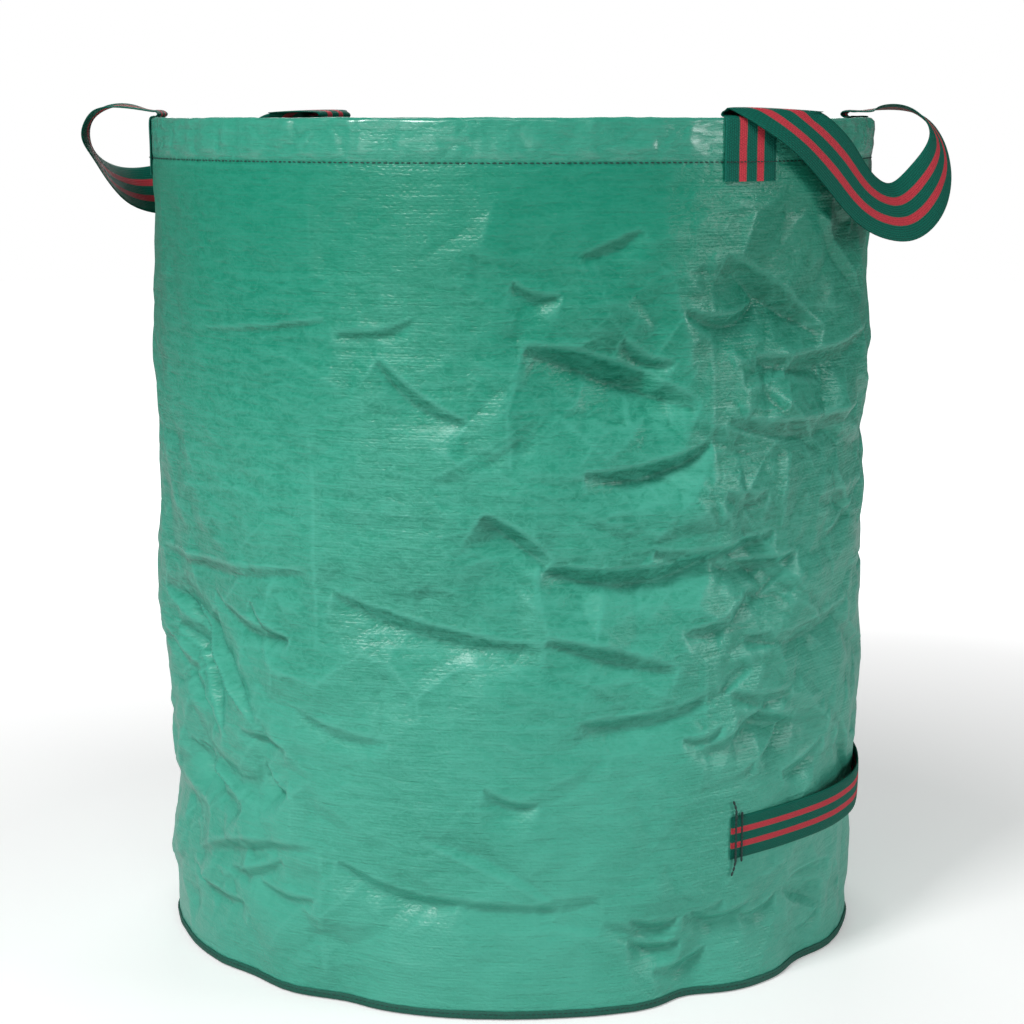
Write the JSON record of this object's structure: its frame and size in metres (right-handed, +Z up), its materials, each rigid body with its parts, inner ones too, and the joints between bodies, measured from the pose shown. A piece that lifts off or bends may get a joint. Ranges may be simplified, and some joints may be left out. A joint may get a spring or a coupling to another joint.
{
  "type": "collapsible garden waste bag",
  "caption": "Open round garden waste bag of green woven polypropylene with a stiffened hemmed mouth, striped webbing carry handles flopped over the rim and a tipping handle near the base",
  "frame": {"origin": "the centre of the base, on the floor it stands on", "axes": "+Z up out of the mouth, +X towards the carry handle that is above the tipping handle, +Y a quarter turn from it"},
  "size_m": [0.7964, 0.6726, 0.7742],
  "materials": {
    "green_woven_laminate": "laminated woven polypropylene, satin gloss with fine level weave lines and crumples",
    "dark_green_tape": "matt binding tape",
    "black_hoop_plastic": "matt extruded strip",
    "striped_webbing": "ribbed woven webbing, dark green with a pair of red stripes"
  },
  "bodies": {
    "root": {"side_panel": "green_woven_laminate", "base_panel": "green_woven_laminate", "base_binding": "dark_green_tape", "rim_hoop": "black_hoop_plastic", "right_carry_handle": "striped_webbing", "left_carry_handle": "striped_webbing", "tipping_handle": "striped_webbing"}
  },
  "joints": []
}
